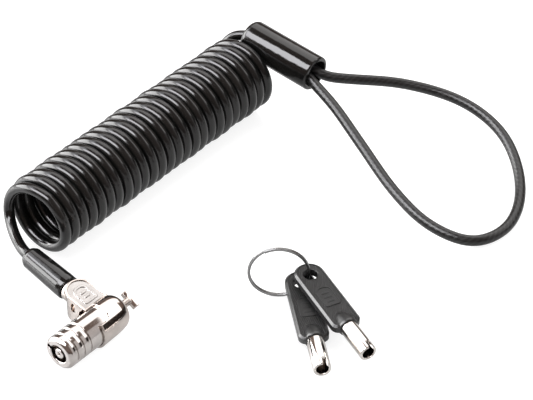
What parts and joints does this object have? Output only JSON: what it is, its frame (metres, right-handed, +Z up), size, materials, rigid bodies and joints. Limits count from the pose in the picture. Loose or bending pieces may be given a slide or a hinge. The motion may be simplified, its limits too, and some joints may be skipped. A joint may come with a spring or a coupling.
{
  "type": "laptop cable lock",
  "caption": "Tubular-key laptop lock with a T-bar for a security slot, a coiled cable ending in a crimped loop, and keys on a split ring.",
  "frame": {"origin": "centre of the T-bar's outer end face, on the lock's axis", "axes": "+X along the lock's axis out of its nose, +Z up; the object lies on a table at z = -0.0073"},
  "size_m": [0.1994, 0.1459, 0.0343],
  "materials": {
    "nickel": "bright nickel plate",
    "steel": "plain steel wire and pins",
    "brass": "machined",
    "cable_jacket": "glossy black jacket",
    "moulded_rubber": "glossy black moulding",
    "key_plastic": "fine ridged charcoal"
  },
  "bodies": {
    "lock_body": {"lock_housing": "nickel", "barrel_sleeve": "nickel", "pin_shell": "brass", "sleeve_pin": "steel", "swivel_pin": "steel", "pin_spring_1": "steel", "pin_spring_2": "steel", "pin_spring_3": "steel", "pin_spring_4": "steel", "pin_spring_5": "steel"},
    "spindle": {"key_plug": "nickel", "t_bar": "nickel", "spindle_clip": "steel"},
    "key_pin_1": {"key_pin_1": "brass"},
    "key_pin_2": {"key_pin_2": "brass"},
    "key_pin_3": {"key_pin_3": "brass"},
    "key_pin_4": {"key_pin_4": "brass"},
    "key_pin_5": {"key_pin_5": "brass"},
    "driver_pin_1": {"driver_pin_1": "steel"},
    "driver_pin_2": {"driver_pin_2": "steel"},
    "driver_pin_3": {"driver_pin_3": "steel"},
    "driver_pin_4": {"driver_pin_4": "steel"},
    "driver_pin_5": {"driver_pin_5": "steel"},
    "cable": {"swivel_stud": "nickel", "rope_end": "steel", "cable_boot": "moulded_rubber", "coil_cable": "cable_jacket"},
    "anchor_loop": {"clamp_sleeve": "moulded_rubber", "crimp_ferrule": "steel", "loop_cable": "cable_jacket"},
    "key_ring": {"split_ring": "steel"},
    "key_a": {"key_a_bow": "key_plastic", "key_a_tube": "nickel"},
    "key_b": {"key_b_bow": "key_plastic", "key_b_tube": "nickel"}
  },
  "joints": [
    {"name": "spindle_turn", "type": "hinge", "parent": "lock_body", "child": "spindle", "pos_m": [0, 0, 0], "axis": [1, 0, 0], "range_deg": [0, 90]},
    {"name": "key_pin_1_push", "type": "slide", "parent": "spindle", "child": "key_pin_1", "axis": [1, 0, 0], "range_m": [-0.0012, 0]},
    {"name": "key_pin_2_push", "type": "slide", "parent": "spindle", "child": "key_pin_2", "axis": [1, 0, 0], "range_m": [-0.0012, 0]},
    {"name": "key_pin_3_push", "type": "slide", "parent": "spindle", "child": "key_pin_3", "axis": [1, 0, 0], "range_m": [-0.0012, 0]},
    {"name": "key_pin_4_push", "type": "slide", "parent": "spindle", "child": "key_pin_4", "axis": [1, 0, 0], "range_m": [-0.0012, 0]},
    {"name": "key_pin_5_push", "type": "slide", "parent": "spindle", "child": "key_pin_5", "axis": [1, 0, 0], "range_m": [-0.0012, 0]},
    {"name": "driver_pin_1_push", "type": "slide", "parent": "lock_body", "child": "driver_pin_1", "axis": [1, 0, 0], "range_m": [-0.0012, 0], "deforming": ["pin_spring_1"]},
    {"name": "driver_pin_2_push", "type": "slide", "parent": "lock_body", "child": "driver_pin_2", "axis": [1, 0, 0], "range_m": [-0.0012, 0], "deforming": ["pin_spring_2"]},
    {"name": "driver_pin_3_push", "type": "slide", "parent": "lock_body", "child": "driver_pin_3", "axis": [1, 0, 0], "range_m": [-0.0012, 0], "deforming": ["pin_spring_3"]},
    {"name": "driver_pin_4_push", "type": "slide", "parent": "lock_body", "child": "driver_pin_4", "axis": [1, 0, 0], "range_m": [-0.0012, 0], "deforming": ["pin_spring_4"]},
    {"name": "driver_pin_5_push", "type": "slide", "parent": "lock_body", "child": "driver_pin_5", "axis": [1, 0, 0], "range_m": [-0.0012, 0], "deforming": ["pin_spring_5"]},
    {"name": "cable_swivel", "type": "hinge", "parent": "lock_body", "child": "cable", "pos_m": [-0.0142, 0, 0], "axis": [0.1093, 0.9902, 0.0872], "range_deg": [-180, 180]},
    {"name": "coil_stretch", "type": "slide", "parent": "cable", "child": "anchor_loop", "axis": [1, 0, 0], "range_m": [0, 0.25], "stiffness_N_per_m": 15, "deforming": ["coil_cable"]},
    {"name": "ring_lift", "type": "slide", "parent": "lock_body", "child": "key_ring", "axis": [0, 0, 1], "range_m": [0, 0.1]},
    {"name": "key_a_swing", "type": "hinge", "parent": "key_ring", "child": "key_a", "pos_m": [0.0466, -0.0417, 0.00125], "axis": [-0.013, -0.0324, 0.9994], "range_deg": [-3, 50]},
    {"name": "key_b_swing", "type": "hinge", "parent": "key_ring", "child": "key_b", "pos_m": [0.0446, -0.0389, -0.0027], "axis": [-0.0226, -0.0266, 0.9994], "range_deg": [-50, 3]}
  ],
  "couplings": [
    {"joint": "key_pin_2_push", "follows": "key_pin_1_push", "ratio": 1},
    {"joint": "key_pin_3_push", "follows": "key_pin_1_push", "ratio": 1},
    {"joint": "key_pin_4_push", "follows": "key_pin_1_push", "ratio": 1},
    {"joint": "key_pin_5_push", "follows": "key_pin_1_push", "ratio": 1},
    {"joint": "driver_pin_1_push", "follows": "key_pin_1_push", "ratio": 1},
    {"joint": "driver_pin_2_push", "follows": "key_pin_1_push", "ratio": 1},
    {"joint": "driver_pin_3_push", "follows": "key_pin_1_push", "ratio": 1},
    {"joint": "driver_pin_4_push", "follows": "key_pin_1_push", "ratio": 1},
    {"joint": "driver_pin_5_push", "follows": "key_pin_1_push", "ratio": 1}
  ]
}
